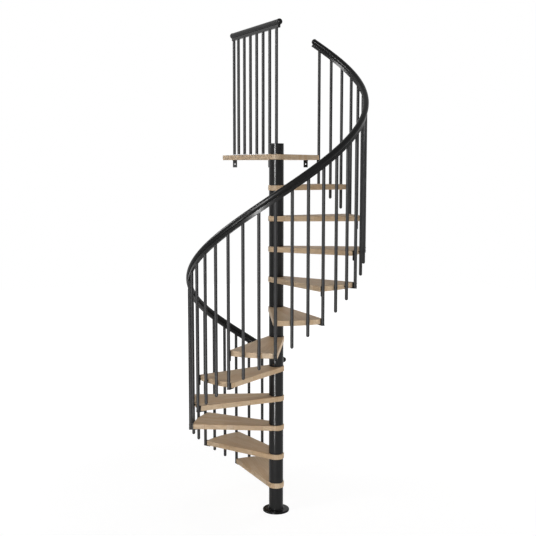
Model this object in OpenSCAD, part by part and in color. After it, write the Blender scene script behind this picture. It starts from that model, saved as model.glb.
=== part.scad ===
// Spiral staircase: tubular centre column, eleven wooden wedge treads, a wooden landing,
// vertical balusters round the outside, a helical handrail and a straight landing railing.
// Origin at the centre of the underside of the base plate; +Z up; climbs counter-clockwise.

/* [Flight] */
// Height from one tread top to the next
riser = 235; // [180:1:260]
// Turn from one tread to the next, in degrees
step_angle = 29.86; // [22:0.01:36]
// Direction of the first baluster, in degrees from +X
start_angle = 90; // [0:1:180]

/* [Treads] */
// Radius of the curved outer edge of a tread
tread_radius = 656; // [480:1:900]
// Thickness of the treads and the landing
tread_t = 40; // [25:1:60]
// How far a tread reaches under and over its neighbours at each side, in degrees
tread_overlap = 1.37; // [0.5:0.01:4]
// Diameter of the round wooden hub of a tread
hub_d = 125; // [116:1:160]

/* [Column] */
// Outer diameter of the spacer tubes
column_d = 113; // [90:1:114]
// Wall of the spacer tubes
column_wall = 3; // [2:0.5:8]
// Outer diameter of the steel post inside
post_d = 60; // [40:1:76]
// Wall of the steel post
post_wall = 5; // [3:0.5:10]
// Height of the column top above the landing
column_rise = 82; // [40:1:150]
// Thickness of the cap on the column
cap_t = 8; // [5:1:20]
// Rounding of the cap's upper edge
cap_round = 3; // [1:0.5:4]

/* [Base] */
// Diameter of the cover over the base plate
cover_d = 210; // [180:1:300]
// Height of the cover
cover_h = 20; // [14:1:40]
// Rounding of the cover's upper edge
cover_round = 5; // [1:1:8]
// Wall of the cover
cover_wall = 4; // [2:0.5:6]
// Thickness of the base plate
plate_t = 10; // [6:1:12]
// Circle of the floor bolts
anchor_circle = 160; // [140:1:170]
// Number of floor bolts
anchor_count = 4; // [3:1:8]
// Diameter of the floor bolt holes
anchor_hole_d = 12; // [8:1:14]

/* [Balusters] */
// Diameter of the balusters
baluster_d = 24; // [16:1:30]
// Length of the stand-off between a tread and an intermediate baluster
standoff_l = 6; // [4:0.5:20]
// Diameter of the stand-offs
standoff_d = 10; // [6:1:24]
// Gap a corner bracket fills between a tread and a corner baluster
bracket_l = 9; // [6:0.5:24]
// Width of the foot of a corner bracket
bracket_w = 28; // [18:1:30]
// Width of a corner bracket's upright leg
bracket_neck_w = 16; // [10:1:30]
// Thickness of the foot of a corner bracket
foot_t = 6; // [3:0.5:12]
// Reach of the foot under the tread
foot_reach = 30; // [15:1:60]
// Depth of the lug under the lower corner of a tread
lug_drop = 36; // [15:1:60]
// Width of that lug
lug_w = 16; // [10:1:30]
// Drop of an intermediate baluster's lower end below the helix of the tread tops
baluster_drop = 43; // [20:1:80]
// Diameter of the floor foot of the first baluster
floor_foot_d = 60; // [40:1:90]
// Thickness of that floor foot
floor_foot_t = 6; // [4:1:12]

/* [Handrail] */
// Diameter of the round handrails
rail_d = 44; // [34:1:60]
// Height of the handrail centre above the helix of the tread tops
rail_height = 1122; // [900:1:1200]
// Depth of the flat under the round handrail
rail_flat = 4; // [2:0.5:6]
// Width of the metal strip under the handrails
strip_w = 20; // [12:1:24]
// Height of the metal strip
strip_h = 23.5; // [6:0.5:30]
// Run of the helical handrail before its first baluster
rail_start_run = 80; // [20:1:110]
// Run of the helical handrail past its last baluster
rail_end_run = 54; // [20:1:90]
// Oversize of the end caps against the handrail, on the diameter
cap_over = 2; // [0:0.5:6]

/* [Landing] */
// Distance of the landing's back edge from the column axis
landing_depth = 775; // [500:1:1000]
// Length of the landing's back edge
landing_w = 789; // [600:1:1000]
// Height of the landing rail centre above the landing
landing_rail_height = 982; // [850:1:1100]
// Distance of the landing railing from the landing's free back corner, along the back edge
landing_rail_inset = 66; // [20:1:120]
// Pitch of the landing balusters
landing_pitch = 115; // [90:1:120]
// Distance of the last landing baluster from the back edge, along the railing
landing_last_inset = 90; // [30:1:120]
// Run of the landing rail past the column axis
landing_rail_start_run = 45; // [25:1:90]
// Run of the landing rail past its last baluster
landing_rail_end_run = 23; // [15:1:90]
// Thickness of the flat bar under the landing balusters
flat_bar_t = 5; // [3:0.5:10]
// Width of that flat bar
flat_bar_w = 24; // [24:1:50]
// Run of that flat bar past the last baluster
flat_bar_overhang = 65; // [15:1:70]
// Distance between the brackets at the back edge
slab_bracket_pitch = 300; // [200:1:320]
// Distance of the first bracket's middle from the side of the landing that the flight runs into
slab_bracket_inset = 82; // [30:1:120]
// Width of the brackets at the back edge
slab_bracket_w = 36; // [20:1:60]
// Depth of those brackets below the landing
slab_bracket_h = 61; // [40:1:90]
// Reach of those brackets under the landing
slab_bracket_reach = 60; // [40:1:90]
// Sheet of those brackets
slab_bracket_t = 5; // [3:0.5:8]
// Diameter of the slab bolt holes
slab_hole_d = 10; // [6:0.5:14]
// Distance of the slab bolt holes below the landing
slab_hole_drop = 33; // [20:1:50]
// Diameter of the screw holes under the landing
screw_hole_d = 6; // [3:0.5:8]

/* [Hidden] */
tread_count = 11;
per_tread = 3;
fit = 0.3;
strip_fit = 0.6;
post_fit = 0.6;
lug_clear = 1;
$fn = 96;

landing_z = riser * (tread_count + 1);
landing_under = landing_z - tread_t;
column_top = landing_z + column_rise;
last_main_angle = start_angle + step_angle * tread_count;
tread_half = step_angle / 2 + tread_overlap;
mid_r = tread_radius + standoff_l + baluster_d / 2;
main_r = tread_radius + bracket_l + baluster_d / 2;
rail_r = (mid_r + main_r) / 2;
rail_slope = atan(riser / (rail_r * step_angle * PI / 180));
strip_top = rail_d / 2 - rail_flat + strip_fit;
strip_low = strip_top + strip_h;

// Turn that a run along the handrail takes up
function run_turn(run) = run * cos(rail_slope) / rail_r * 180 / PI;

// Turn and height of baluster j, counted from the first one
function turn(j) = start_angle + step_angle * j / per_tread;
function climb(a) = riser * (a - start_angle) / step_angle;
function polar(r, a) = [r * cos(a), r * sin(a)];
// Where a side running in from the point (r, a) ends, just inside the rim of the hub; side is +1 or -1
function touch(r, a, side) = polar(hub_d / 2 - fit, a + side * acos((hub_d / 2 - fit) / r));

// Frame of the handrail at turn a: centre, outward and upward directions
function rail_mid(a) = [rail_r * cos(a), rail_r * sin(a), climb(a) + rail_height];
function rail_out(a) = [cos(a), sin(a), 0];
function rail_up(a) = [sin(a) * sin(rail_slope), -cos(a) * sin(rail_slope), cos(rail_slope)];
function ring(a, shape) = [for (p = shape) rail_mid(a) + p[0] * rail_out(a) + p[1] * rail_up(a)];

// Section of the round handrail with its flat, and of the strip
rail_sides = 15;
flat_half = acos((rail_d / 2 - rail_flat) / (rail_d / 2));
rail_shape = [for (i = [0:rail_sides - 1])
    polar(rail_d / 2, -90 + flat_half + i * (360 - 2 * flat_half) / (rail_sides - 1))];
strip_shape = [[-strip_w / 2, -strip_low], [strip_w / 2, -strip_low],
    [strip_w / 2, -strip_top], [-strip_w / 2, -strip_top]];

// Landing plan
landing_corner = polar(tread_radius, last_main_angle - tread_overlap);
landing_notch = polar(tread_radius * cos(tread_overlap), last_main_angle)
    + polar(lug_w / 2 + lug_clear, last_main_angle + 90);
landing_side_x = landing_notch[0];
landing_far = [landing_side_x - landing_w, landing_depth];
landing_rail_back = landing_far + [landing_rail_inset, 0];
landing_rail_angle = atan2(landing_rail_back[1], landing_rail_back[0]);
landing_end = norm(landing_rail_back) - landing_last_inset;
landing_rail_z = landing_z + landing_rail_height;

// Upright tube from z0 up
module tube(d, wall, z0, h) {
    translate([0, 0, z0]) difference() {
        cylinder(d = d, h = h);
        translate([0, 0, -1]) cylinder(d = d - 2 * wall, h = h + 2);
    }
}

module base_plate() {
    color("dimgray") difference() {
        cylinder(d = anchor_circle + 3 * anchor_hole_d, h = plate_t - fit);
        for (i = [0:anchor_count - 1])
            rotate([0, 0, 45 + i * 360 / anchor_count])
                translate([anchor_circle / 2, 0, -1]) cylinder(d = anchor_hole_d, h = plate_t + 2);
    }
}

module base_cover() {
    r = cover_d / 2;
    inner = column_d / 2 + fit;
    color("black") rotate_extrude() difference() {
        union() {
            translate([inner, 0]) square([r - inner, cover_h - cover_round]);
            translate([inner, 0]) square([r - inner - cover_round, cover_h]);
            translate([r - cover_round, cover_h - cover_round]) circle(r = cover_round);
        }
        translate([0, -1]) square([r - cover_wall, cover_h - cover_wall + 1]);
    }
}

module centre_post() {
    color("gray") tube(post_d, post_wall, plate_t, column_top - cap_t - fit - plate_t);
}

module spacer(z0, z1) {
    tube(column_d, column_wall, z0, z1 - z0);
}

module column_spacers() {
    color("black") {
        spacer(plate_t, riser - tread_t - fit);
        for (k = [1:tread_count])
            spacer(riser * k + fit, riser * (k + 1) - tread_t - fit);
        spacer(landing_z + fit, column_top - cap_t);
    }
}

module column_cap() {
    r = column_d / 2;
    h = cap_t - fit;
    color("black") translate([0, 0, column_top - h]) rotate_extrude() {
        square([r, h - cap_round]);
        square([r - cap_round, h]);
        translate([r - cap_round, h - cap_round]) circle(r = cap_round);
    }
}

// One tread with its top at height z
module tread(k) {
    corner = polar(tread_radius, tread_half);
    side = touch(tread_radius, tread_half, 1);
    far = corner + (corner - side) / 4;
    color("burlywood") rotate([0, 0, turn(per_tread * (k - 0.5))])
        translate([0, 0, riser * k - tread_t]) difference() {
            union() {
                cylinder(d = hub_d, h = tread_t);
                intersection() {
                    cylinder(r = tread_radius, h = tread_t);
                    linear_extrude(tread_t)
                        polygon([side, [side[0], -side[1]], [far[0], -far[1]], far]);
                }
            }
            translate([0, 0, -1]) cylinder(d = post_d + post_fit, h = tread_t + 2);
        }
}

module landing() {
    far_r = norm(landing_far);
    far_a = atan2(landing_far[1], landing_far[0]);
    color("burlywood") translate([0, 0, landing_under]) difference() {
        union() {
            cylinder(d = hub_d, h = tread_t);
            linear_extrude(tread_t) polygon([
                touch(tread_radius, last_main_angle - tread_overlap, -1),
                landing_corner, landing_notch, [landing_side_x, landing_depth],
                landing_far, touch(far_r, far_a, 1)]);
        }
        translate([0, 0, -1]) cylinder(d = post_d + post_fit, h = tread_t + 2);
    }
}

// Everything above the strip's underside at turn a is cut away
module below_strip(a) {
    reach = 2 * baluster_d;
    difference() {
        children();
        translate(rail_mid(a) - (strip_low + fit) * rail_up(a))
            rotate([0, 0, a]) rotate([rail_slope, 0, 0])
                translate([-reach, -reach, 0]) cube([2 * reach, 2 * reach, 2 * reach]);
    }
}

// A post from z0 up to the strip, at turn a and radius r
module rising_baluster(a, r, z0) {
    below_strip(a) translate([r * cos(a), r * sin(a), z0])
        cylinder(d = baluster_d, h = climb(a) + rail_height - z0);
}

// An intermediate baluster with its rounded lower end
module mid_baluster(j) {
    a = turn(j);
    low = climb(a) - baluster_drop + baluster_d / 2;
    rising_baluster(a, mid_r, low);
    translate([mid_r * cos(a), mid_r * sin(a), low]) difference() {
        sphere(d = baluster_d);
        cylinder(d = 2 * baluster_d, h = baluster_d);
    }
}

module balusters(k) {
    color("dimgray") {
        mid_baluster(per_tread * k - 2);
        mid_baluster(per_tread * k - 1);
        rising_baluster(turn(per_tread * k), main_r, riser * k - tread_t);
    }
}

module first_baluster() {
    color("dimgray") rising_baluster(start_angle, main_r, floor_foot_t + fit);
}

module first_foot() {
    color("black") translate(main_r * rail_out(start_angle)) cylinder(d = floor_foot_d, h = floor_foot_t);
}

module standoffs() {
    color("black") for (k = [1:tread_count]) for (i = [1:per_tread - 1])
        rotate([0, 0, turn(per_tread * (k - 1) + i)])
            translate([tread_radius + fit, 0, riser * k - tread_t / 2]) rotate([0, 90, 0])
                cylinder(d = standoff_d, h = standoff_l - 2 * fit);
}

module corner_brackets() {
    color("black") for (k = [1:tread_count]) rotate([0, 0, turn(per_tread * k)])
        translate([0, 0, riser * k - tread_t - fit]) {
            translate([tread_radius + fit, -bracket_neck_w / 2, -foot_t])
                cube([bracket_l - 2 * fit, bracket_neck_w, tread_t + foot_t]);
            translate([tread_radius - foot_reach, -bracket_w / 2, -foot_t])
                cube([main_r - tread_radius + foot_reach, bracket_w, foot_t]);
            translate([main_r, 0, -foot_t]) cylinder(d = bracket_w, h = foot_t);
        }
}

module corner_lugs() {
    color("black") for (k = [1:tread_count + 1]) rotate([0, 0, turn(per_tread * (k - 1))])
        translate([tread_radius + fit, 0, riser * k - tread_t - lug_drop + lug_w / 2]) {
            translate([0, -lug_w / 2, 0])
                cube([bracket_l - 2 * fit, lug_w, tread_t + lug_drop - lug_w / 2]);
            rotate([0, 90, 0]) cylinder(d = lug_w, h = bracket_l - 2 * fit);
        }
}

// A shape swept along the handrail's helix from turn a0 to a1
module helix_sweep(shape, a0, a1, rings) {
    n = len(shape);
    points = [for (i = [0:rings]) each ring(a0 + (a1 - a0) * i / rings, shape)];
    polyhedron(points, [
        [for (i = [0:n - 1]) i],
        for (r = [0:rings - 1]) for (i = [0:n - 1])
            each [[r * n + i, (r + 1) * n + i, (r + 1) * n + (i + 1) % n],
                [r * n + i, (r + 1) * n + (i + 1) % n, r * n + (i + 1) % n]],
        [for (i = [n - 1:-1:0]) rings * n + i]]);
}

rail_rings = 120;
rail_first = start_angle - run_turn(rail_start_run);
rail_last = last_main_angle + run_turn(rail_end_run);

module handrail() {
    color("black") helix_sweep(rail_shape, rail_first, rail_last, rail_rings);
}

module handrail_strip() {
    color("gray") helix_sweep(strip_shape, rail_first, rail_last, rail_rings);
}

// Rounded end of a rail: half a ball on the +Y side
module dome() {
    d = rail_d + cap_over;
    difference() {
        sphere(d = d);
        translate([-d, -2 * d + fit, -d]) cube(2 * d);
    }
}

module handrail_caps() {
    color("black") for (e = [[rail_first, 180], [rail_last, 0]])
        translate(rail_mid(e[0])) rotate([0, 0, e[0]]) rotate([rail_slope, 0, 0])
            rotate([0, 0, e[1]]) dome();
}

// Along the landing railing: x runs out from the column axis
module along_landing() {
    rotate([0, 0, landing_rail_angle]) children();
}

module landing_balusters() {
    top = landing_rail_z - strip_low - fit;
    low = landing_z + flat_bar_t + fit;
    color("dimgray") along_landing() {
        translate([0, 0, column_top + fit]) cylinder(d = baluster_d, h = top - column_top - fit);
        for (x = [each [landing_pitch:landing_pitch:landing_end - 2 * baluster_d], landing_end])
            translate([x, 0, low]) cylinder(d = baluster_d, h = top - low);
    }
}

landing_rail_first = -landing_rail_start_run;
landing_rail_last = landing_end + landing_rail_end_run;
landing_rail_length = landing_rail_last - landing_rail_first;

module landing_rail() {
    color("black") along_landing() translate([landing_rail_first, 0, landing_rail_z]) difference() {
        rotate([0, 90, 0]) cylinder(d = rail_d, h = landing_rail_length);
        translate([-1, -rail_d, -rail_d - rail_d / 2 + rail_flat])
            cube([landing_rail_length + 2, 2 * rail_d, rail_d]);
    }
}

module landing_rail_strip() {
    color("gray") along_landing()
        translate([landing_rail_first, -strip_w / 2, landing_rail_z - strip_low])
            cube([landing_rail_length, strip_w, strip_h]);
}

module landing_rail_caps() {
    color("black") along_landing() for (e = [[landing_rail_first, 90], [landing_rail_last, -90]])
        translate([e[0], 0, landing_rail_z]) rotate([0, 0, e[1]]) dome();
}

module landing_flat_bar() {
    start = column_d / 2 + fit;
    color("silver") along_landing() translate([start, -flat_bar_w / 2, landing_z + fit / 2])
        cube([landing_end + flat_bar_overhang - start, flat_bar_w, flat_bar_t]);
}

// One angle bracket at the back edge; its upright leg lies flat against the floor slab
module slab_bracket() {
    reach = slab_bracket_reach;
    difference() {
        union() {
            translate([-slab_bracket_w / 2, -slab_bracket_t, -slab_bracket_h])
                cube([slab_bracket_w, slab_bracket_t, slab_bracket_h]);
            translate([-slab_bracket_w / 2, -reach, -slab_bracket_t])
                cube([slab_bracket_w, reach, slab_bracket_t]);
        }
        translate([0, 1, -slab_hole_drop]) rotate([90, 0, 0])
            cylinder(d = slab_hole_d, h = slab_bracket_t + 2);
        for (y = [reach / 2, reach * 3 / 4])
            translate([0, -y, -slab_bracket_t - 1]) cylinder(d = screw_hole_d, h = slab_bracket_t + 2);
    }
}

module slab_brackets() {
    color("black") for (i = [0:2])
        translate([landing_side_x - slab_bracket_inset - i * slab_bracket_pitch, landing_depth,
            landing_under - fit]) slab_bracket();
}

base_plate();
base_cover();
centre_post();
column_spacers();
column_cap();
tread(1);  // tread_01
tread(2);  // tread_02
tread(3);  // tread_03
tread(4);  // tread_04
tread(5);  // tread_05
tread(6);  // tread_06
tread(7);  // tread_07
tread(8);  // tread_08
tread(9);  // tread_09
tread(10);  // tread_10
tread(11);  // tread_11
landing();
first_baluster();
first_foot();
balusters(1);  // balusters_01
balusters(2);  // balusters_02
balusters(3);  // balusters_03
balusters(4);  // balusters_04
balusters(5);  // balusters_05
balusters(6);  // balusters_06
balusters(7);  // balusters_07
balusters(8);  // balusters_08
balusters(9);  // balusters_09
balusters(10);  // balusters_10
balusters(11);  // balusters_11
landing_balusters();
standoffs();
corner_brackets();
corner_lugs();
handrail();
handrail_strip();
handrail_caps();
landing_rail();
landing_rail_strip();
landing_rail_caps();
landing_flat_bar();
slab_brackets();
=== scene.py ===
# Spiral staircase: finishes, fine shapes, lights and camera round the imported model
import math

import bmesh
import bpy
from mathutils import Matrix, Vector


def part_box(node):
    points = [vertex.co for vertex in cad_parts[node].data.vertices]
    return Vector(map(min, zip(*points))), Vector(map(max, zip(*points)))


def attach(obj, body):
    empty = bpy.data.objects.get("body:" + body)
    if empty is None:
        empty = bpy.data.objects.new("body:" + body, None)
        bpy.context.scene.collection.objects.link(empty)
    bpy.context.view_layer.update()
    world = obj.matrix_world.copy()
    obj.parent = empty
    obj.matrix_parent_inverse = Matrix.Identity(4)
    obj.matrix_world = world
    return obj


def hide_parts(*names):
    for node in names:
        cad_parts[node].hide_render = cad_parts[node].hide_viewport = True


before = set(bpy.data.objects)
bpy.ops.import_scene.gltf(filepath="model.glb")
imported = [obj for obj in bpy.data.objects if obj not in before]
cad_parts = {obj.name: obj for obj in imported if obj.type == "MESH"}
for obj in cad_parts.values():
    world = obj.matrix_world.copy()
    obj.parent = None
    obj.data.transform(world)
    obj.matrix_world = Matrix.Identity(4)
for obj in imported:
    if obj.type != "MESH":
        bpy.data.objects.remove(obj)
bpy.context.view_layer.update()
print("frame loaded:", len(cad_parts), "nodes")


class Wire:
    # one output socket of a node tree; arithmetic on it adds Math nodes
    def __init__(self, tree, socket=None):
        self.tree = tree
        self.socket = socket

    # a new node: its settings first, then the values or links of its sockets
    def node(self, kind, settings=None, sockets=None, output=0):
        made = self.tree.nodes.new("ShaderNode" + kind)
        for key, value in (settings or {}).items():
            setattr(made, key, value)
        for key, value in (sockets or {}).items():
            if isinstance(value, Wire):
                self.tree.links.new(value.socket, made.inputs[key])
            else:
                made.inputs[key].default_value = value
        return Wire(self.tree, made.outputs[output])

    def into(self, shader, name):
        self.tree.links.new(self.socket, shader.inputs[name])

    def math(self, operation, *values):
        return self.node("Math", {"operation": operation}, dict(enumerate(values)))

    def __add__(self, other):
        return self.math("ADD", self, other)

    def __radd__(self, other):
        return self.math("ADD", other, self)

    def __sub__(self, other):
        return self.math("SUBTRACT", self, other)

    def __rsub__(self, other):
        return self.math("SUBTRACT", other, self)

    def __mul__(self, other):
        return self.math("MULTIPLY", self, other)

    def __rmul__(self, other):
        return self.math("MULTIPLY", other, self)

    def __truediv__(self, other):
        return self.math("DIVIDE", self, other)

    def __rtruediv__(self, other):
        return self.math("DIVIDE", other, self)

    def floor(self):
        return self.math("FLOOR", self)

    def fraction(self):
        return self.math("FRACT", self)

    def sine(self):
        return self.math("SINE", self)

    def highest(self, other):
        return self.math("MAXIMUM", self, other)

    def lowest(self, other):
        return self.math("MINIMUM", self, other)

    def root(self):
        return self.math("SQRT", self)

    # 0 below low, 1 above high, smooth between
    def ramp(self, low, high):
        return self.node("MapRange", {"interpolation_type": "SMOOTHSTEP"},
                         {"Value": self, "From Min": low, "From Max": high})

    # colour a where this is 0, colour b where it is 1
    def mix(self, a, b, blend="MIX"):
        return self.node("Mix", {"data_type": "RGBA", "blend_type": blend}, {0: self, 6: a, 7: b}, 2)

    def axes(self):
        split = self.node("SeparateXYZ", {}, {"Vector": self}, 0)
        outputs = split.socket.node.outputs
        return [Wire(self.tree, outputs[name]) for name in ("X", "Y", "Z")]

    def vector(self, x, y, z):
        return self.node("CombineXYZ", {}, {"X": x, "Y": y, "Z": z})

    def noise(self, place, scale, detail, roughness=0.5):
        return self.node("TexNoise", {}, {"Vector": place, "Scale": scale, "Detail": detail,
                                          "Roughness": roughness})

    # place on the piece itself, in metres
    def onPiece(self):
        return self.node("TexCoord", {}, {}, "Object")

    # 1 for the camera, reflections and glass, 0 for the light that falls on matt surfaces
    def shownRays(self):
        outputs = self.node("LightPath").socket.node.outputs
        camera, glossy, glass = [Wire(self.tree, outputs[name]) for name in (
            "Is Camera Ray", "Is Glossy Ray", "Is Transmission Ray")]
        return camera.highest(glossy).highest(glass)

    # one random number for each whole-numbered pair
    def chance(self, x, y):
        return self.node("TexWhiteNoise", {"noise_dimensions": "2D"}, {"Vector": self.vector(x, y, 0.0)})

    def bump(self, height, strength, distance):
        return self.node("Bump", {}, {"Height": height, "Strength": strength, "Distance": distance})


def newMaterial(name, constants):
    made = bpy.data.materials.new(name)
    made.use_nodes = True
    shader = made.node_tree.nodes["Principled BSDF"]
    for socket, value in constants.items():
        shader.inputs[socket].default_value = value
    wires = Wire(made.node_tree)
    return made, wires, shader


def tint(r, g, b):
    return (r, g, b, 1.0)


def shade(colour, factor):
    return tint(*[part * factor for part in colour])


# Beech panels glued up from straight staves with butt ends
beech = {
    "staveWidth": 0.043,
    "staveLength": 0.38,
    "panelShift": (3.37, 0.61),      # moves the staves across and along from one panel to the next
    "rowShift": 7.0,
    "chanceSteps": (17.0, 5.0),      # keep the random numbers of one panel apart from the next
    "grainShift": (11.0, 5.0),       # moves the grain from one stave to the next
    "wander": (2.4, 9.0),            # features a metre, along and across the grain
    "streaks": (7.0, 120.0),
    "pores": (170.0, 1300.0),
    "rings": 330.0,
    "ringWander": 26.0,
    "fleckRange": (0.60, 0.72),
    "streakRange": (0.42, 0.75),
    "amounts": {"figure": 0.55, "streak": 0.45, "fleck": 0.5, "joint": 0.6},
    "pale": tint(0.655, 0.512, 0.355),
    "golden": tint(0.595, 0.428, 0.268),
    "streak": tint(0.82, 0.75, 0.68),
    "fleck": tint(0.70, 0.58, 0.48),
    "joint": tint(0.55, 0.42, 0.32),
    "jointWidth": 0.0005,
    "roughness": 0.42,
    "rougher": {"streak": 0.10, "fleck": 0.08},
    "specular": 0.07,
    "bump": 0.25,
    "raised": {"streak": 0.35, "fleck": -0.4, "joint": -1.0},
    "relief": 0.0003,
}


def beechPanel(name, panel):
    made, wires, shader = newMaterial(name, {"Specular IOR Level": beech["specular"]})
    x, y, z = wires.onPiece().axes()
    acrossShift, alongShift = beech["panelShift"]
    across = y / beech["staveWidth"] + panel * acrossShift
    row = across.floor()
    rowChance = wires.chance(row, float(panel))
    along = x / beech["staveLength"] + rowChance * beech["rowShift"] + panel * alongShift
    block = along.floor()
    toneStep, sideStep = beech["chanceSteps"]
    tone = wires.chance(block, row + panel * toneStep)
    side = wires.chance(row + panel * sideStep, block)
    # distances to the nearest glue line and butt end
    glue = across.fraction().lowest(1.0 - across.fraction()) * beech["staveWidth"]
    butt = along.fraction().lowest(1.0 - along.fraction()) * beech["staveLength"]
    joint = 1.0 - glue.lowest(butt).ramp(0.0, beech["jointWidth"])
    # each stave has its own stretch of grain
    grainX = x + tone * beech["grainShift"][0]
    grainY = y + side * beech["grainShift"][1]

    def stretched(key, detail, roughness=0.5):
        lengthways, crossways = beech[key]
        place = wires.vector(grainX * lengthways, grainY * crossways, z * crossways)
        return wires.noise(place, 1.0, detail, roughness)

    wander = stretched("wander", 2.0)
    ringPhase = (grainY + z * (side - 0.5)) * beech["rings"] + wander * beech["ringWander"]
    figure = ringPhase.sine() * 0.5 + 0.5
    streak = stretched("streaks", 4.0, 0.6)
    fleck = stretched("pores", 1.0).ramp(*beech["fleckRange"])
    amounts = beech["amounts"]
    colour = tone.mix(beech["pale"], beech["golden"])
    colour = (figure * streak * amounts["figure"]).mix(colour, beech["streak"], "MULTIPLY")
    strong = streak.ramp(*beech["streakRange"])
    colour = (strong * amounts["streak"]).mix(colour, beech["streak"], "MULTIPLY")
    colour = (fleck * amounts["fleck"]).mix(colour, beech["fleck"], "MULTIPLY")
    colour = (joint * amounts["joint"]).mix(colour, beech["joint"], "MULTIPLY")
    colour.into(shader, "Base Color")
    rougher, raised = beech["rougher"], beech["raised"]
    gloss = beech["roughness"] + streak * rougher["streak"] + fleck * rougher["fleck"]
    gloss.into(shader, "Roughness")
    height = streak * raised["streak"] + fleck * raised["fleck"] + joint * raised["joint"]
    wires.bump(height, beech["bump"], beech["relief"]).into(shader, "Normal")
    return made


# Baked powder coat: a very fine orange-peel skin with a slightly uneven gloss
coat = {"clouds": 14.0, "skin": 900.0, "skinShare": 0.4, "dark": 0.86, "light": 1.18, "uneven": 0.06,
        "relief": 0.0002}


def powderCoat(name, colour, roughness, specular=0.3, peel=0.10):
    made, wires, shader = newMaterial(name, {"Specular IOR Level": specular})
    place = wires.onPiece()
    cloud = wires.noise(place, coat["clouds"], 3.0)
    skin = wires.noise(place, coat["skin"], 1.0)
    mixed = cloud * (1.0 - coat["skinShare"]) + skin * coat["skinShare"]
    dark, light = shade(colour, coat["dark"]), shade(colour, coat["light"])
    mixed.mix(dark, light).into(shader, "Base Color")
    (roughness - coat["uneven"] / 2 + cloud * coat["uneven"]).into(shader, "Roughness")
    wires.bump(skin, peel, coat["relief"]).into(shader, "Normal")
    return made


# Smooth vinyl with a faint long ripple from the extrusion
vinylSkin = {"specular": 0.065, "ripples": 12.0, "dust": 700.0, "dark": 0.85, "light": 1.2, "uneven": 0.05,
             "dustShare": 0.02, "bump": 0.03, "relief": 0.0003}


def vinyl(name, colour, roughness):
    made, wires, shader = newMaterial(name, {"Specular IOR Level": vinylSkin["specular"]})
    place = wires.onPiece()
    ripple = wires.noise(place, vinylSkin["ripples"], 1.0)
    dust = wires.noise(place, vinylSkin["dust"], 1.0)
    dark, light = shade(colour, vinylSkin["dark"]), shade(colour, vinylSkin["light"])
    ripple.mix(dark, light).into(shader, "Base Color")
    grit = dust * vinylSkin["dustShare"]
    (roughness + ripple * vinylSkin["uneven"] + grit).into(shader, "Roughness")
    wires.bump(ripple + grit, vinylSkin["bump"], vinylSkin["relief"]).into(shader, "Normal")
    return made


# Bare metal, drawn or rolled; stretch is how many streaks there are a metre along X, Y and Z
bareMetal = {"dark": 0.8, "light": 1.15, "uneven": 0.16, "bump": 0.06, "relief": 0.0002}


def drawnMetal(name, colour, roughness, stretch):
    made, wires, shader = newMaterial(name, {"Metallic": 1.0})
    stretched = [part * number for part, number in zip(wires.onPiece().axes(), stretch)]
    lines = wires.noise(wires.vector(*stretched), 1.0, 3.0)
    dark, light = shade(colour, bareMetal["dark"]), shade(colour, bareMetal["light"])
    lines.mix(dark, light).into(shader, "Base Color")
    (roughness - bareMetal["uneven"] / 2 + lines * bareMetal["uneven"]).into(shader, "Roughness")
    wires.bump(lines, bareMetal["bump"], bareMetal["relief"]).into(shader, "Normal")
    return made


# By material slot: colour, roughness, specular level and depth of the orange peel
finish = {
    "column_paint": powderCoat("columnBlack", (0.022, 0.022, 0.0222), 0.21, 0.09, 0.01),
    "cap_paint": powderCoat("capBlack", (0.022, 0.022, 0.0222), 0.28, 0.09, 0.02),
    "base_cover_paint": powderCoat("coverBlack", (0.010, 0.010, 0.010), 0.18, 0.06, 0.01),
    "plate_steel": powderCoat("plateBlack", (0.02, 0.02, 0.02), 0.45),
    "post_steel": drawnMetal("zincPlate", (0.55, 0.56, 0.57), 0.35, (300.0, 300.0, 4.0)),
    "baluster_paint": powderCoat("balusterGrey", (0.040, 0.040, 0.041), 0.44, 0.08, 0.01),
    "bracket_paint": powderCoat("bracketBlack", (0.012, 0.012, 0.012), 0.34, 0.10, 0.03),
    "strip_metal": powderCoat("stripBlack", (0.014, 0.014, 0.014), 0.26, 0.11, 0.01),
    "flat_bar_metal": drawnMetal("flatBarAluminium", (0.60, 0.60, 0.61), 0.32, (4.0, 400.0, 400.0)),
    "handrail_pvc": vinyl("handrailBlack", (0.012, 0.012, 0.012), 0.25),
    "end_cap_plastic": vinyl("endCapBlack", (0.012, 0.012, 0.012), 0.30),
}
screwBlack = powderCoat("screwBlack", (0.014, 0.014, 0.014), 0.36, 0.10, 0.02)
print("finishes made:", len(finish) + 1)


weld = 1e-5    # points nearer than this are one point
fit = 0.0003   # the gap between pieces that touch


# Lowest and highest corner of each separate solid of a CAD node, from the lowest up
def solidsOf(node):
    probe = bmesh.new()
    probe.from_mesh(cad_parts[node].data)
    bmesh.ops.remove_doubles(probe, verts=probe.verts, dist=weld)
    left = set(probe.verts)
    found = []
    while left:
        group = [left.pop()]
        for vert in group:
            near = {edge.other_vert(vert) for edge in vert.link_edges} & left
            left -= near
            group.extend(near)
        low = Vector([min(vert.co[axis] for vert in group) for axis in range(3)])
        high = Vector([max(vert.co[axis] for vert in group) for axis in range(3)])
        found.append((low, high))
    probe.free()
    return sorted(found, key=lambda pair: (round(pair[0].z, 4), pair[0].x))


def turnOf(point):
    return math.atan2(point[1], point[0])


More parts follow.
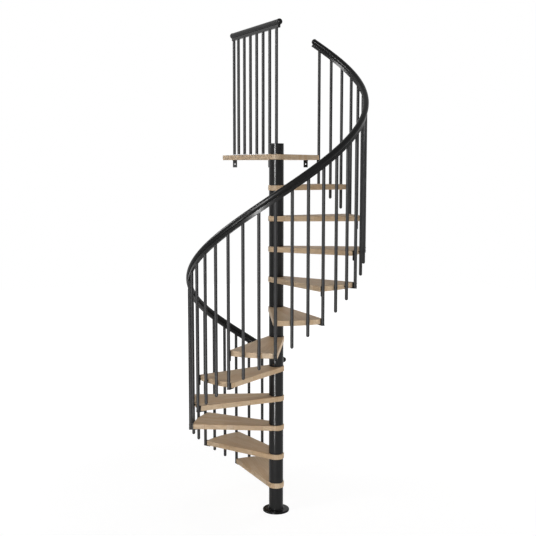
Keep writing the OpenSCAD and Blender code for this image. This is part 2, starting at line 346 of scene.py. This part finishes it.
# Radius, half angle and middle direction of a wedge tread, and the radius of its hub
def wedgeOf(node):
    points = [vert.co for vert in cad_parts[node].data.vertices]
    radius = max(point.xy.length for point in points)
    rim = [point for point in points if point.xy.length > radius * 0.999]
    rough = turnOf(sum((point.xy for point in rim), Vector((0.0, 0.0))))
    turns = [turnOf(Matrix.Rotation(-rough, 3, "Z") @ point) for point in rim]
    middle = rough + (min(turns) + max(turns)) / 2
    facing = Vector((math.cos(middle), math.sin(middle)))
    hub = max(point.xy.length for point in points if point.xy.dot(facing) < 0)
    return {"radius": radius, "half": (max(turns) - min(turns)) / 2, "middle": middle, "hub": hub}


treadNodes = sorted(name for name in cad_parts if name.startswith("tread_"))
firstPost = sum(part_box("first_baluster"), Vector()) / 2
flight = {
    "riser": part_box(treadNodes[1])[1].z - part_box(treadNodes[0])[1].z,
    "startTurn": turnOf(firstPost),
    "stepTurn": (wedgeOf(treadNodes[1])["middle"] - wedgeOf(treadNodes[0])["middle"]) % math.tau,
    "treads": len(treadNodes),
}
railSpan = [vert.co.xy.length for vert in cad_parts["handrail"].data.vertices]
flight["railRadius"] = (min(railSpan) + max(railSpan)) / 2
flight["slope"] = math.atan(flight["riser"] / (flight["railRadius"] * flight["stepTurn"]))


# One mesh piece from a bmesh, with its finish, its body and the CAD nodes that it stands for
def addPiece(name, shape, material, nodes=(), place=None, smooth=35.0):
    bmesh.ops.recalc_face_normals(shape, faces=shape.faces)
    mesh = bpy.data.meshes.new(name)
    shape.to_mesh(mesh)
    shape.free()
    mesh.materials.append(material)
    mesh.shade_smooth()
    mesh.set_sharp_from_angle(angle=math.radians(smooth))
    piece = bpy.data.objects.new(name, mesh)
    bpy.context.scene.collection.objects.link(piece)
    if place is not None:
        piece.matrix_world = place
    weighted = piece.modifiers.new("weighted", "WEIGHTED_NORMAL")
    weighted.keep_sharp = True
    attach(piece, "root")
    if nodes:
        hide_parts(*nodes)
    return piece


def polar(radius, turn):
    return Vector((radius * math.cos(turn), radius * math.sin(turn)))


def arc(radius, first, last, steps, centre=(0.0, 0.0)):
    return [Vector(centre) + polar(radius, first + (last - first) * i / steps) for i in range(steps + 1)]


# Replaces a corner of a closed outline by an arc
def roundCorner(before, corner, after, radius, steps=4):
    a = (before - corner).normalized()
    b = (after - corner).normalized()
    half = a.angle(b) / 2
    if half > math.radians(89):   # as good as straight
        return [corner]
    # the arc takes at most half of each side
    reach = min(radius / math.tan(half), 0.49 * (before - corner).length, 0.49 * (after - corner).length)
    centre = corner + (a + b).normalized() * (reach / math.cos(half))
    first = corner + a * reach - centre
    last = corner + b * reach - centre
    sweep = first.angle_signed(last)
    return [centre + Matrix.Rotation(-sweep * i / steps, 2) @ first for i in range(steps + 1)]


# Outline moved inwards by a distance; the outline runs counter-clockwise
def inset(outline, distance):
    moved = []
    for i, point in enumerate(outline):
        before = (point - outline[i - 1]).normalized()
        after = (outline[(i + 1) % len(outline)] - point).normalized()
        normalA = Vector((-before.y, before.x))
        normalB = Vector((-after.y, after.x))
        along = normalA + normalB
        moved.append(point + along * (2 * distance / max(along.length_squared, 1.0)))
    return moved


def bridge(shape, lower, upper):
    for i in range(len(lower)):
        j = (i + 1) % len(lower)
        shape.faces.new((lower[i], lower[j], upper[j], upper[i]))


def addRing(shape, points):
    return [shape.verts.new(point) for point in points]


# A board of one outline with rounded upper and lower edges, and one round hole at the origin
boardShape = {"edge": 0.004, "edgeSteps": 4, "hole": 0.0303, "holeSides": 48}


def addBoard(shape, outline, thickness):
    edge, steps = boardShape["edge"], boardShape["edgeSteps"]
    circle = arc(boardShape["hole"], 0, math.tau, boardShape["holeSides"])[:-1]
    rings = []
    for level, direction in ((0.0, 1), (thickness, -1)):
        stage = []
        for i in range(steps + 1):
            lean = math.pi / 2 * i / steps
            z = level + direction * edge * (1 - math.sin(lean))
            inwards = edge * (1 - math.cos(lean))
            stage.append([Vector((p.x, p.y, z)) for p in inset(outline, inwards)])
        rings.extend(reversed(stage) if direction > 0 else stage)
    made = [addRing(shape, ring) for ring in rings]
    for lower, upper in zip(made, made[1:]):
        bridge(shape, lower, upper)
    holes = [addRing(shape, [p.to_3d() + Vector((0, 0, z)) for p in circle]) for z in (0.0, thickness)]
    bridge(shape, holes[1], holes[0])
    for rim, inner in ((made[0], holes[0]), (made[-1], holes[1])):
        edges = []
        for ring in (rim, inner):
            edges += [shape.edges.get((ring[i - 1], ring[i])) for i in range(len(ring))]
        bmesh.ops.triangle_fill(shape, use_beauty=True, use_dissolve=False, edges=edges)


# Wedge treads: a hub round the column, straight sides touching it, and an arc outside
treadShape = {"corner": 0.007, "arcSteps": 26, "hubSteps": 30}


def wedgeOutline(wedge):
    hub, radius, half = wedge["hub"], wedge["radius"], wedge["half"]
    touch = half + math.acos(hub / radius)
    rim = arc(radius, -half, half, treadShape["arcSteps"])
    back = arc(hub, touch, math.tau - touch, treadShape["hubSteps"])
    lower = roundCorner(back[-1], rim[0], rim[1], treadShape["corner"])
    upper = roundCorner(rim[-2], rim[-1], back[0], treadShape["corner"])
    return lower + rim[1:-1] + upper + back


for k, node in enumerate(treadNodes, 1):
    low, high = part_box(node)
    wedge = wedgeOf(node)
    shape = bmesh.new()
    addBoard(shape, wedgeOutline(wedge), high.z - low.z)
    place = Matrix.Translation((0, 0, low.z)) @ Matrix.Rotation(wedge["middle"], 4, "Z")
    addPiece(f"tread{k:02d}", shape, beechPanel(f"beechPanel{k:02d}", k), [node], place)
print("treads made:", len(treadNodes))


# Corners of the landing beyond its hub, in order round its upper face
def landingCorners():
    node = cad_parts["landing"]
    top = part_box("landing")[1].z
    hub = wedgeOf(treadNodes[0])["hub"]
    places = {(round(v.co.x, 5), round(v.co.y, 5)) for v in node.data.vertices
              if abs(v.co.z - top) < weld and v.co.xy.length > 2 * hub}
    return sorted((Vector(p) for p in places), key=turnOf)


landingShape = {"corner": 0.006, "panel": 14}   # panel picks its own staves and grain
low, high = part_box("landing")
hubRadius = wedgeOf(treadNodes[0])["hub"]
corners = landingCorners()
near, far = corners[0], corners[-1]
nearTouch = turnOf(near) - math.acos(hubRadius / near.length)
farTouch = turnOf(far) + math.acos(hubRadius / far.length)
back = arc(hubRadius, farTouch, math.tau + nearTouch, treadShape["hubSteps"])
loop = [back[-1]] + corners + [back[0]]
outline = []
for i in range(1, len(loop) - 1):
    outline += roundCorner(loop[i - 1], loop[i], loop[i + 1], landingShape["corner"])
shape = bmesh.new()
addBoard(shape, outline + back, high.z - low.z)
landingBeech = beechPanel("beechPanelLanding", landingShape["panel"])
place = Matrix.Translation((0, 0, low.z))
addPiece("landingPanel", shape, landingBeech, ["landing"], place)
print("landing made with", len(corners), "corners")


# Turned shape: rings of (radius, height) about an axis; radius 0 closes an end
def addTurned(shape, profile, sides=48, place=None):
    place = place or Matrix()
    made = []
    for radius, z in profile:
        if radius < weld:
            made.append(shape.verts.new(place @ Vector((0, 0, z))))
        else:
            points = [Vector((*polar(radius, math.tau * i / sides), z)) for i in range(sides)]
            made.append(addRing(shape, [place @ point for point in points]))
    for lower, upper in zip(made, made[1:]):
        if isinstance(lower, list) and isinstance(upper, list):
            bridge(shape, lower, upper)
            continue
        tip, ring = (lower, upper) if isinstance(upper, list) else (upper, lower)
        for i in range(sides):
            shape.faces.new((ring[i - 1], ring[i], tip))
    return made


# Quarter of a circle between two edges of a turned profile
def fillet(centre, radius, first, last, steps=4):
    return [tuple(point) for point in arc(radius, math.radians(first), math.radians(last), steps, centre)]


# Column: spacer tubes with softened ends, a cap and the cover over the floor plate
column = {"wall": 0.003, "endRound": 0.0015, "sides": 96}
shape = bmesh.new()
for low, high in solidsOf("column_spacers"):
    outer = (high.x - low.x) / 2
    r = column["endRound"]
    inner = outer - column["wall"]
    profile = [(inner, low.z)] + fillet((outer - r, low.z + r), r, -90, 0)
    profile += fillet((outer - r, high.z - r), r, 0, 90) + [(inner, high.z), (inner, low.z)]
    rings = addTurned(shape, profile[:-1], column["sides"])
    bridge(shape, rings[-1], rings[0])
addPiece("columnTubes", shape, finish["column_paint"], ["column_spacers"])

capShape = {"round": 0.003, "groove": 0.0008}
low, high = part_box("column_cap")
r = capShape["round"]
g = capShape["groove"]
outer = high.x
profile = [(0.0, low.z), (outer - g, low.z), (outer, low.z + g)]
profile += fillet((outer - r, high.z - r), r, 0, 90) + [(0.0, high.z)]
shape = bmesh.new()
addTurned(shape, profile, column["sides"])
addPiece("columnCap", shape, finish["cap_paint"], ["column_cap"])

# the lip is given as steps out from the column and down from the top
coverShape = {"round": 0.006, "wall": 0.004, "collar": 0.006, "collarHeight": 0.005, "collarSweep": 55,
              "footEdge": 0.0006, "lip": ((0.0022, 0.0006), (0.0012, 0.0), (0.0, 0.0004))}
low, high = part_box("base_cover")
tube = solidsOf("column_spacers")[0]
inner = (tube[1].x - tube[0].x) / 2 + fit
outer = high.x
r = coverShape["round"]
c = coverShape["collar"]
e = coverShape["footEdge"]
hollow = outer - coverShape["wall"]
deck = high.z - coverShape["collarHeight"]   # the flat ring round the collar lies lower than its lip
profile = [(hollow, low.z), (outer - e, low.z), (outer, low.z + e)]
profile += fillet((outer - r, deck - r), r, 0, 90, 6)
profile += fillet((inner + 2 * c, deck + c), c, 270, 270 - coverShape["collarSweep"], 5)
profile += [(inner + out, high.z - down) for out, down in coverShape["lip"]]
profile += [(inner, deck - coverShape["wall"]), (hollow, deck - coverShape["wall"])]
shape = bmesh.new()
rings = addTurned(shape, profile, column["sides"])
bridge(shape, rings[-1], rings[0])
addPiece("baseCover", shape, finish["base_cover_paint"], ["base_cover"])
print("column made")


# Balusters: round tubes, cut at the top to the slope of the strip, with a plug in the lower end
balusterShape = {"sides": 32, "plug": 0.014, "plugTip": -80, "plugSteps": 8, "groove": 0.0005,
                 "grooveWidth": 0.0012, "footEdge": 0.001}


# One upright tube; slope is the rise of its top cut along the direction of the turn
def addBaluster(shape, low, high, roundEnd, slope):
    centre = (low + high) / 2
    radius = (high.x - low.x) / 2
    turn = turnOf(centre)
    forward = Vector((-math.sin(turn), math.cos(turn), 0))
    g = balusterShape["groove"]
    w = balusterShape["grooveWidth"]
    if roundEnd:
        seam = radius + balusterShape["plug"]
        profile = [(0.0, 0.0)]
        profile += fillet((0.0, radius), radius, balusterShape["plugTip"], 0, balusterShape["plugSteps"])
        profile += [(radius, seam), (radius - g, seam + w / 3)]
        profile += [(radius - g, seam + 2 * w / 3), (radius, seam + w)]
    else:
        e = balusterShape["footEdge"]
        profile = [(0.0, 0.0), (radius - e, 0.0), (radius, e)]
    reach = high.z - low.z - radius * math.tan(slope)
    profile += [(radius, reach), (0.0, reach)]
    base = Matrix.Translation((centre.x, centre.y, low.z))
    rings = addTurned(shape, profile, balusterShape["sides"], base)
    for vert in rings[-2]:
        offset = vert.co - Vector((centre.x, centre.y, vert.co.z))
        vert.co.z += offset.dot(forward) * math.tan(slope)


ringRadius = flight["railRadius"]
for k in range(1, flight["treads"] + 1):
    node = f"balusters_{k:02d}"
    shape = bmesh.new()
    for low, high in solidsOf(node):
        middle = ((low + high) / 2).xy.length
        addBaluster(shape, low, high, middle < ringRadius, flight["slope"])
    addPiece(f"balusterSet{k:02d}", shape, finish["baluster_paint"], [node])

shape = bmesh.new()
addBaluster(shape, *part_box("first_baluster"), False, flight["slope"])
addPiece("firstPost", shape, finish["baluster_paint"], ["first_baluster"])

shape = bmesh.new()
for low, high in solidsOf("landing_balusters"):
    addBaluster(shape, low, high, False, 0.0)
addPiece("landingPosts", shape, finish["baluster_paint"], ["landing_balusters"])
print("balusters made")


# Handrail and strip: sections swept up the helix
railShape = {"radius": 0.0217, "flatDepth": 0.018, "height": 1.122, "startRun": 0.080, "endRun": 0.054,
             "rings": 260, "sides": 30, "lip": 0.0012, "flatShare": 1.12}
landingRun = {"start": 0.045, "end": 0.023}
stripShape = {"width": 0.020, "height": 0.0235, "gap": 0.0006, "edge": 0.0012}


def railMiddle(turn):
    climb = flight["riser"] * (turn - flight["startTurn"]) / flight["stepTurn"]
    return Vector((*polar(flight["railRadius"], turn), climb + railShape["height"]))


def railAxes(turn):
    s, c = math.sin(flight["slope"]), math.cos(flight["slope"])
    outwards = Vector((math.cos(turn), math.sin(turn), 0))
    upwards = Vector((math.sin(turn) * s, -math.cos(turn) * s, c))
    return outwards, upwards


# Round section with a flat below, its two lips softened
def railSection():
    radius, lip = railShape["radius"], railShape["lip"]
    depth = railShape["flatDepth"]
    half = math.acos(depth / radius)
    start = half * railShape["flatShare"] - math.pi / 2
    sides = arc(radius, start, math.pi - start, railShape["sides"])
    flatEnd = radius * math.sin(half) - lip
    return sides + [Vector((-flatEnd, -depth)), Vector((flatEnd, -depth))]


def stripSection():
    top = -(railShape["flatDepth"] + stripShape["gap"])
    low = top - stripShape["height"]
    half = stripShape["width"] / 2
    square = [Vector((-half, low)), Vector((half, low)), Vector((half, top)), Vector((-half, top))]
    points = []
    for i in range(4):
        points += roundCorner(square[i - 1], square[i], square[(i + 1) % 4], stripShape["edge"], 3)
    return points


def addSweep(shape, section, frames):
    rings = []
    for origin, sideways, upwards in frames:
        rings.append(addRing(shape, [origin + p.x * sideways + p.y * upwards for p in section]))
    for lower, upper in zip(rings, rings[1:]):
        bridge(shape, lower, upper)
    shape.faces.new(rings[0])
    shape.faces.new(rings[-1])


turnPerRun = math.cos(flight["slope"]) / flight["railRadius"]
railStart = flight["startTurn"] - railShape["startRun"] * turnPerRun
lastTurn = flight["startTurn"] + flight["stepTurn"] * flight["treads"]
railEnd = lastTurn + railShape["endRun"] * turnPerRun
ringCount = railShape["rings"]
turns = [railStart + (railEnd - railStart) * i / ringCount for i in range(ringCount + 1)]
helix = [(railMiddle(turn), *railAxes(turn)) for turn in turns]
shape = bmesh.new()
addSweep(shape, railSection(), helix)
addPiece("handrailTube", shape, finish["handrail_pvc"], ["handrail"])
shape = bmesh.new()
addSweep(shape, stripSection(), helix)
addPiece("handrailStrip", shape, finish["strip_metal"], ["handrail_strip"])

# Straight railing: along the line from the column axis to its last baluster
endPost = max(solidsOf("landing_balusters"), key=lambda pair: ((pair[0] + pair[1]) / 2).xy.length)
endPoint = ((endPost[0] + endPost[1]) / 2).xy
railAlong = Vector((*endPoint.normalized(), 0))
railLeft = Vector((-railAlong.y, railAlong.x, 0))
railLevel = endPost[1].z + fit + railShape["flatDepth"] + stripShape["gap"] + stripShape["height"]
straightEnds = [-landingRun["start"], endPoint.length + landingRun["end"]]
straight = [(railAlong * x + Vector((0, 0, railLevel)), -railLeft, Vector((0, 0, 1))) for x in straightEnds]
shape = bmesh.new()
addSweep(shape, railSection(), straight)
addPiece("landingRailTube", shape, finish["handrail_pvc"], ["landing_rail"])
shape = bmesh.new()
addSweep(shape, stripSection(), straight)
addPiece("landingRailStrip", shape, finish["strip_metal"], ["landing_rail_strip"])

# End caps: a short skirt and a domed end
endCap = {"radius": 0.023, "skirt": 0.003, "lip": 0.0008, "steps": 9, "sides": 40}


# A frame at a point with its Z along a direction
def frameAt(origin, outwards):
    return Matrix.Translation(origin) @ outwards.to_track_quat("Z", "X").to_matrix().to_4x4()


def addEndCap(shape, origin, outwards):
    radius, lip, skirt = endCap["radius"], endCap["lip"], endCap["skirt"]
    profile = [(0.0, fit), (radius - lip, fit), (radius, fit + lip)]
    for i in range(endCap["steps"]):
        lean = math.pi / 2 * i / endCap["steps"]
        profile.append((radius * math.cos(lean), skirt + (radius - skirt) * math.sin(lean)))
    profile.append((0.0, radius))
    addTurned(shape, profile, endCap["sides"], frameAt(origin, outwards))


def along(turn):
    outwards, upwards = railAxes(turn)
    return upwards.cross(outwards)


shape = bmesh.new()
addEndCap(shape, railMiddle(railStart), -along(railStart))
addEndCap(shape, railMiddle(railEnd), along(railEnd))
addPiece("handrailEnds", shape, finish["end_cap_plastic"], ["handrail_caps"])
shape = bmesh.new()
addEndCap(shape, straight[0][0], -railAlong)
addEndCap(shape, straight[1][0], railAlong)
addPiece("landingRailEnds", shape, finish["end_cap_plastic"], ["landing_rail_caps"])
print("handrails made")


# Brackets and bars: the CAD shape with its flats merged and its edges broken; angles in degrees
softening = {"flat": 1, "sharp": 40, "segments": 3}


def softened(name, node, slot, width):
    shape = bmesh.new()
    shape.from_mesh(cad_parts[node].data)
    bmesh.ops.remove_doubles(shape, verts=shape.verts, dist=weld)
    flat, least = math.radians(softening["flat"]), math.radians(softening["sharp"])
    bmesh.ops.dissolve_limit(shape, angle_limit=flat, verts=shape.verts, edges=shape.edges)
    sharp = [e for e in shape.edges if len(e.link_faces) == 2 and e.calc_face_angle() > least]
    bmesh.ops.bevel(shape, geom=sharp, offset=width, segments=softening["segments"], profile=0.5,
                    affect="EDGES")
    addPiece(name, shape, finish[slot], [node])


for name, node, slot, width in (
        ("cornerBrackets", "corner_brackets", "bracket_paint", 0.0012),
        ("cornerLugs", "corner_lugs", "bracket_paint", 0.0012),
        ("slabBrackets", "slab_brackets", "bracket_paint", 0.0008),
        ("firstFoot", "first_foot", "bracket_paint", 0.0015),
        ("landingFlatBar", "landing_flat_bar", "flat_bar_metal", 0.0007)):
    softened(name, node, slot, width)

# Stand-offs: short turned spacers, hollowed at the outer end to fit the round baluster
standoff = {"edge": 0.0008, "sides": 32, "gap": 0.0002}
balusterRadius = (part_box("first_baluster")[1].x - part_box("first_baluster")[0].x) / 2
shape = bmesh.new()
spacer = solidsOf("standoffs")[0]
radius = (spacer[1].z - spacer[0].z) / 2
e = standoff["edge"]
for k, node in enumerate(treadNodes, 1):
    start = wedgeOf(node)["radius"] + fit
    level = sum(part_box(node), Vector()).z / 2
    for low, high in solidsOf(f"balusters_{k:02d}"):
        centre = (low + high) / 2
        if centre.xy.length > ringRadius:
            continue
        turned = Matrix.Rotation(turnOf(centre), 4, "Z") @ Matrix.Translation((start, 0, level))
        place = turned @ Matrix.Rotation(math.pi / 2, 4, "Y")
        end = centre.xy.length - start
        profile = [(0.0, 0.0), (radius - e, 0.0), (radius, e), (radius, end), (0.0, end - balusterRadius)]
        rings = addTurned(shape, profile, standoff["sides"], place)
        back = place.inverted()
        for vert in rings[3]:   # the outer rim follows the round baluster
            local = back @ vert.co
            deep = math.sqrt(max(balusterRadius ** 2 - local.y ** 2, 0.0))
            local.z = end - deep - standoff["gap"]
            vert.co = place @ local
addPiece("balusterSpacers", shape, finish["bracket_paint"], ["standoffs"])

# The floor plate and the post inside the column keep their CAD shape and get a finish
for node, slot in (("base_plate", "plate_steel"), ("centre_post", "post_steel")):
    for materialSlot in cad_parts[node].material_slots:
        materialSlot.material = finish[slot]
print("brackets made")


# Button-head screws with a six-sided socket: one in each intermediate baluster, two in each corner baluster
screw = {"radius": 0.0052, "height": 0.0026, "socket": 0.0022, "depth": 0.0014, "sides": 24,
         "dome": math.radians(62), "domeSteps": 5, "sunk": 0.0009, "pairHalf": 0.010}


def addScrew(shape, origin, outwards, size=1.0):
    place = frameAt(origin, outwards) @ Matrix.Scale(size, 4)
    radius, height, socket = screw["radius"], screw["height"], screw["socket"]
    floorLevel = height - screw["depth"]
    profile = [(0.0, 0.0), (radius, 0.0)]
    for i in range(1, screw["domeSteps"] + 1):
        lean = screw["dome"] * i / screw["domeSteps"]
        profile.append((radius * math.cos(lean), height * math.sin(lean) / math.sin(screw["dome"])))
    profile += [(socket, height), (socket, floorLevel), (0.0, floorLevel)]
    rings = addTurned(shape, profile, screw["sides"], place)
    back = place.inverted()
    flat = math.tau / 6
    for ring in rings[-3:-1]:   # the mouth and the floor of the socket
        for vert in ring:
            local = back @ vert.co
            part = turnOf(local) % flat - flat / 2
            reach = socket * math.cos(flat / 2) / math.cos(part)
            local.xy = local.xy.normalized() * reach
            vert.co = place @ local


shape = bmesh.new()
for k, node in enumerate(treadNodes, 1):
    level = sum(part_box(node), Vector()).z / 2
    for low, high in solidsOf(f"balusters_{k:02d}"):
        centre = (low + high) / 2
        outwards = Vector((*centre.xy.normalized(), 0))
        face = Vector((*centre.xy, 0)) + outwards * (balusterRadius - screw["sunk"])
        inner = centre.xy.length < ringRadius
        levels = [level] if inner else [level - screw["pairHalf"], level + screw["pairHalf"]]
        for z in levels:
            addScrew(shape, face + Vector((0, 0, z)), outwards)
addPiece("balusterScrews", shape, screwBlack, smooth=40.0)

# Wood screws: up through bracket feet and slab brackets, down through the flat bar and the floor foot
fixing = {"footReach": (0.010, 0.022), "slabReach": (0.030, 0.045), "slabSheet": 0.005, "proud": 0.0002,
          "small": 0.75, "footScrews": 3, "footCircle": 0.021}
below = Vector((0, 0, -1))
above = Vector((0, 0, 1))
shape = bmesh.new()
footLevels = [low.z for low, high in solidsOf("corner_brackets")]
for k, node in enumerate(treadNodes, 1):
    turn = flight["startTurn"] + flight["stepTurn"] * k
    radius = wedgeOf(node)["radius"]
    foot = min(footLevels, key=lambda z: abs(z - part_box(node)[0].z))
    for reach in fixing["footReach"]:
        spot = polar(radius - reach, turn)
        addScrew(shape, Vector((*spot, foot + fixing["proud"])), below, fixing["small"])
for low, high in solidsOf("slab_brackets"):
    sheet = high.z - fixing["slabSheet"]
    for reach in fixing["slabReach"]:
        centre = Vector(((low.x + high.x) / 2, high.y - reach, sheet + fixing["proud"]))
        addScrew(shape, centre, below, fixing["small"])
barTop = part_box("landing_flat_bar")[1].z
postRuns = sorted(((low + high) / 2).xy.length for low, high in solidsOf("landing_balusters"))
for inner, outer in zip(postRuns[1:], postRuns[2:]):
    centre = railAlong * ((inner + outer) / 2) + Vector((0, 0, barTop - fixing["proud"]))
    addScrew(shape, centre, above, fixing["small"])
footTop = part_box("first_foot")[1].z
footCentre = sum(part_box("first_foot"), Vector()) / 2
for i in range(fixing["footScrews"]):
    spot = footCentre.xy + polar(fixing["footCircle"], math.tau * (i + 0.5) / fixing["footScrews"])
    addScrew(shape, Vector((*spot, footTop - fixing["proud"])), above, fixing["small"])
addPiece("woodScrews", shape, screwBlack, smooth=40.0)
print("screws made")


# Floor, daylight-white surroundings, lamps and camera; near the stair the floor also shows its shadow
floorShape = {"radius": 14.0, "segments": 96, "level": -0.0005, "matt": 0.86, "white": 1.12,
              "shadow": 0.20, "shadowReach": (1.5, 5.0)}
studio = {
    "ambient": 0.33,   # how bright the white surroundings are to matt surfaces
    # name: place, aim, width, height, watts, then whether it lights matt surfaces and shows in glossy ones
    "lamps": {
        "keyLamp": ((1.5, -5.6, 0.9), (-0.2, 0.0, 0.9), 2.4, 1.6, 120.0, True, False),
        "sideLamp": ((-4.4, -2.4, 3.9), (0.0, 0.0, 1.2), 1.1, 1.1, 72.0, True, False),
        "railGlint": ((-3.7, -2.5, 5.4), (0.0, 0.0, 2.4), 0.8, 0.8, 230.0, False, True),
        "leftGlint": ((-4.35, 0.95, 4.4), (0.6, 0.3, 3.5), 1.3, 2.0, 330.0, False, True),
        "highGlint": ((-2.55, -6.0, 3.6), (0.0, 0.0, 3.0), 0.70, 2.2, 1200.0, False, True),
        "midGlint": ((-2.60, -6.0, 1.4), (0.0, 0.0, 1.6), 0.60, 1.6, 200.0, False, True),
        "lowGlint": ((-0.84, -2.03, 0.50), (0.0, 0.0, 0.5), 0.18, 0.92, 100.0, False, True),
        "fillLamp": ((3.4, 3.6, 1.6), (0.0, 0.0, 0.6), 2.2, 1.2, 100.0, True, False),
    },
}


def litBackground(world):
    world.use_nodes = True
    tree = world.node_tree
    tree.nodes.clear()
    wires = Wire(tree)
    strength = studio["ambient"] + wires.shownRays() * (1.0 - studio["ambient"])
    glow = wires.node("Background", {}, {"Color": tint(1.0, 1.0, 1.0), "Strength": strength})
    glow.into(tree.nodes.new("ShaderNodeOutputWorld"), "Surface")


def floorMaterial():
    made = bpy.data.materials.new("floorWhite")
    made.use_nodes = True
    tree = made.node_tree
    tree.nodes.clear()
    wires = Wire(tree)
    x, y, z = wires.onPiece().axes()
    away = (x * x + y * y).root().ramp(*floorShape["shadowReach"])
    share = wires.shownRays() * (1.0 - floorShape["shadow"] * (1.0 - away))
    level = floorShape["matt"]
    matt = wires.node("BsdfDiffuse", {}, {"Color": tint(level, level, level)})
    white = wires.node("Emission", {}, {"Color": tint(1.0, 1.0, 1.0), "Strength": floorShape["white"]})
    both = wires.node("MixShader", {}, {0: share, 1: matt, 2: white})
    both.into(tree.nodes.new("ShaderNodeOutputMaterial"), "Surface")
    return made


shape = bmesh.new()
bmesh.ops.create_circle(shape, cap_ends=True, segments=floorShape["segments"], radius=floorShape["radius"])
mesh = bpy.data.meshes.new("floor")
shape.to_mesh(mesh)
shape.free()
mesh.materials.append(floorMaterial())
floor = bpy.data.objects.new("floor", mesh)
floor.location.z = floorShape["level"]
bpy.context.scene.collection.objects.link(floor)

scene = bpy.context.scene
scene.world = scene.world or bpy.data.worlds.new("studio")
litBackground(scene.world)
for name, (place, aim, width, height, power, matt, gloss) in studio["lamps"].items():
    lamp = bpy.data.lights.new(name, "AREA")
    lamp.shape = "RECTANGLE"
    lamp.size, lamp.size_y, lamp.energy = width, height, power
    holder = bpy.data.objects.new(name, lamp)
    holder.location = place
    holder.rotation_mode = "QUATERNION"
    holder.rotation_quaternion = (Vector(aim) - Vector(place)).to_track_quat("-Z", "Y")
    holder.visible_camera = False
    holder.visible_diffuse = matt
    holder.visible_glossy = gloss
    scene.collection.objects.link(holder)

# yaw and down in degrees, lens and sensor in millimetres
camera = {"place": (-0.0443, -6.9599, 2.7319), "yaw": -0.164, "down": 6.72, "lens": 60.7, "sensor": 36.0,
          "shiftY": 0.0081}
lens = bpy.data.cameras.new("camera")
lens.lens = camera["lens"]
lens.sensor_width = camera["sensor"]
lens.shift_y = camera["shiftY"]
viewer = bpy.data.objects.new("camera", lens)
viewer.location = camera["place"]
viewer.rotation_euler = (math.radians(90 - camera["down"]), 0.0, math.radians(-camera["yaw"]))
scene.collection.objects.link(viewer)
scene.camera = viewer
scene.view_settings.view_transform = "Standard"
print("studio made")
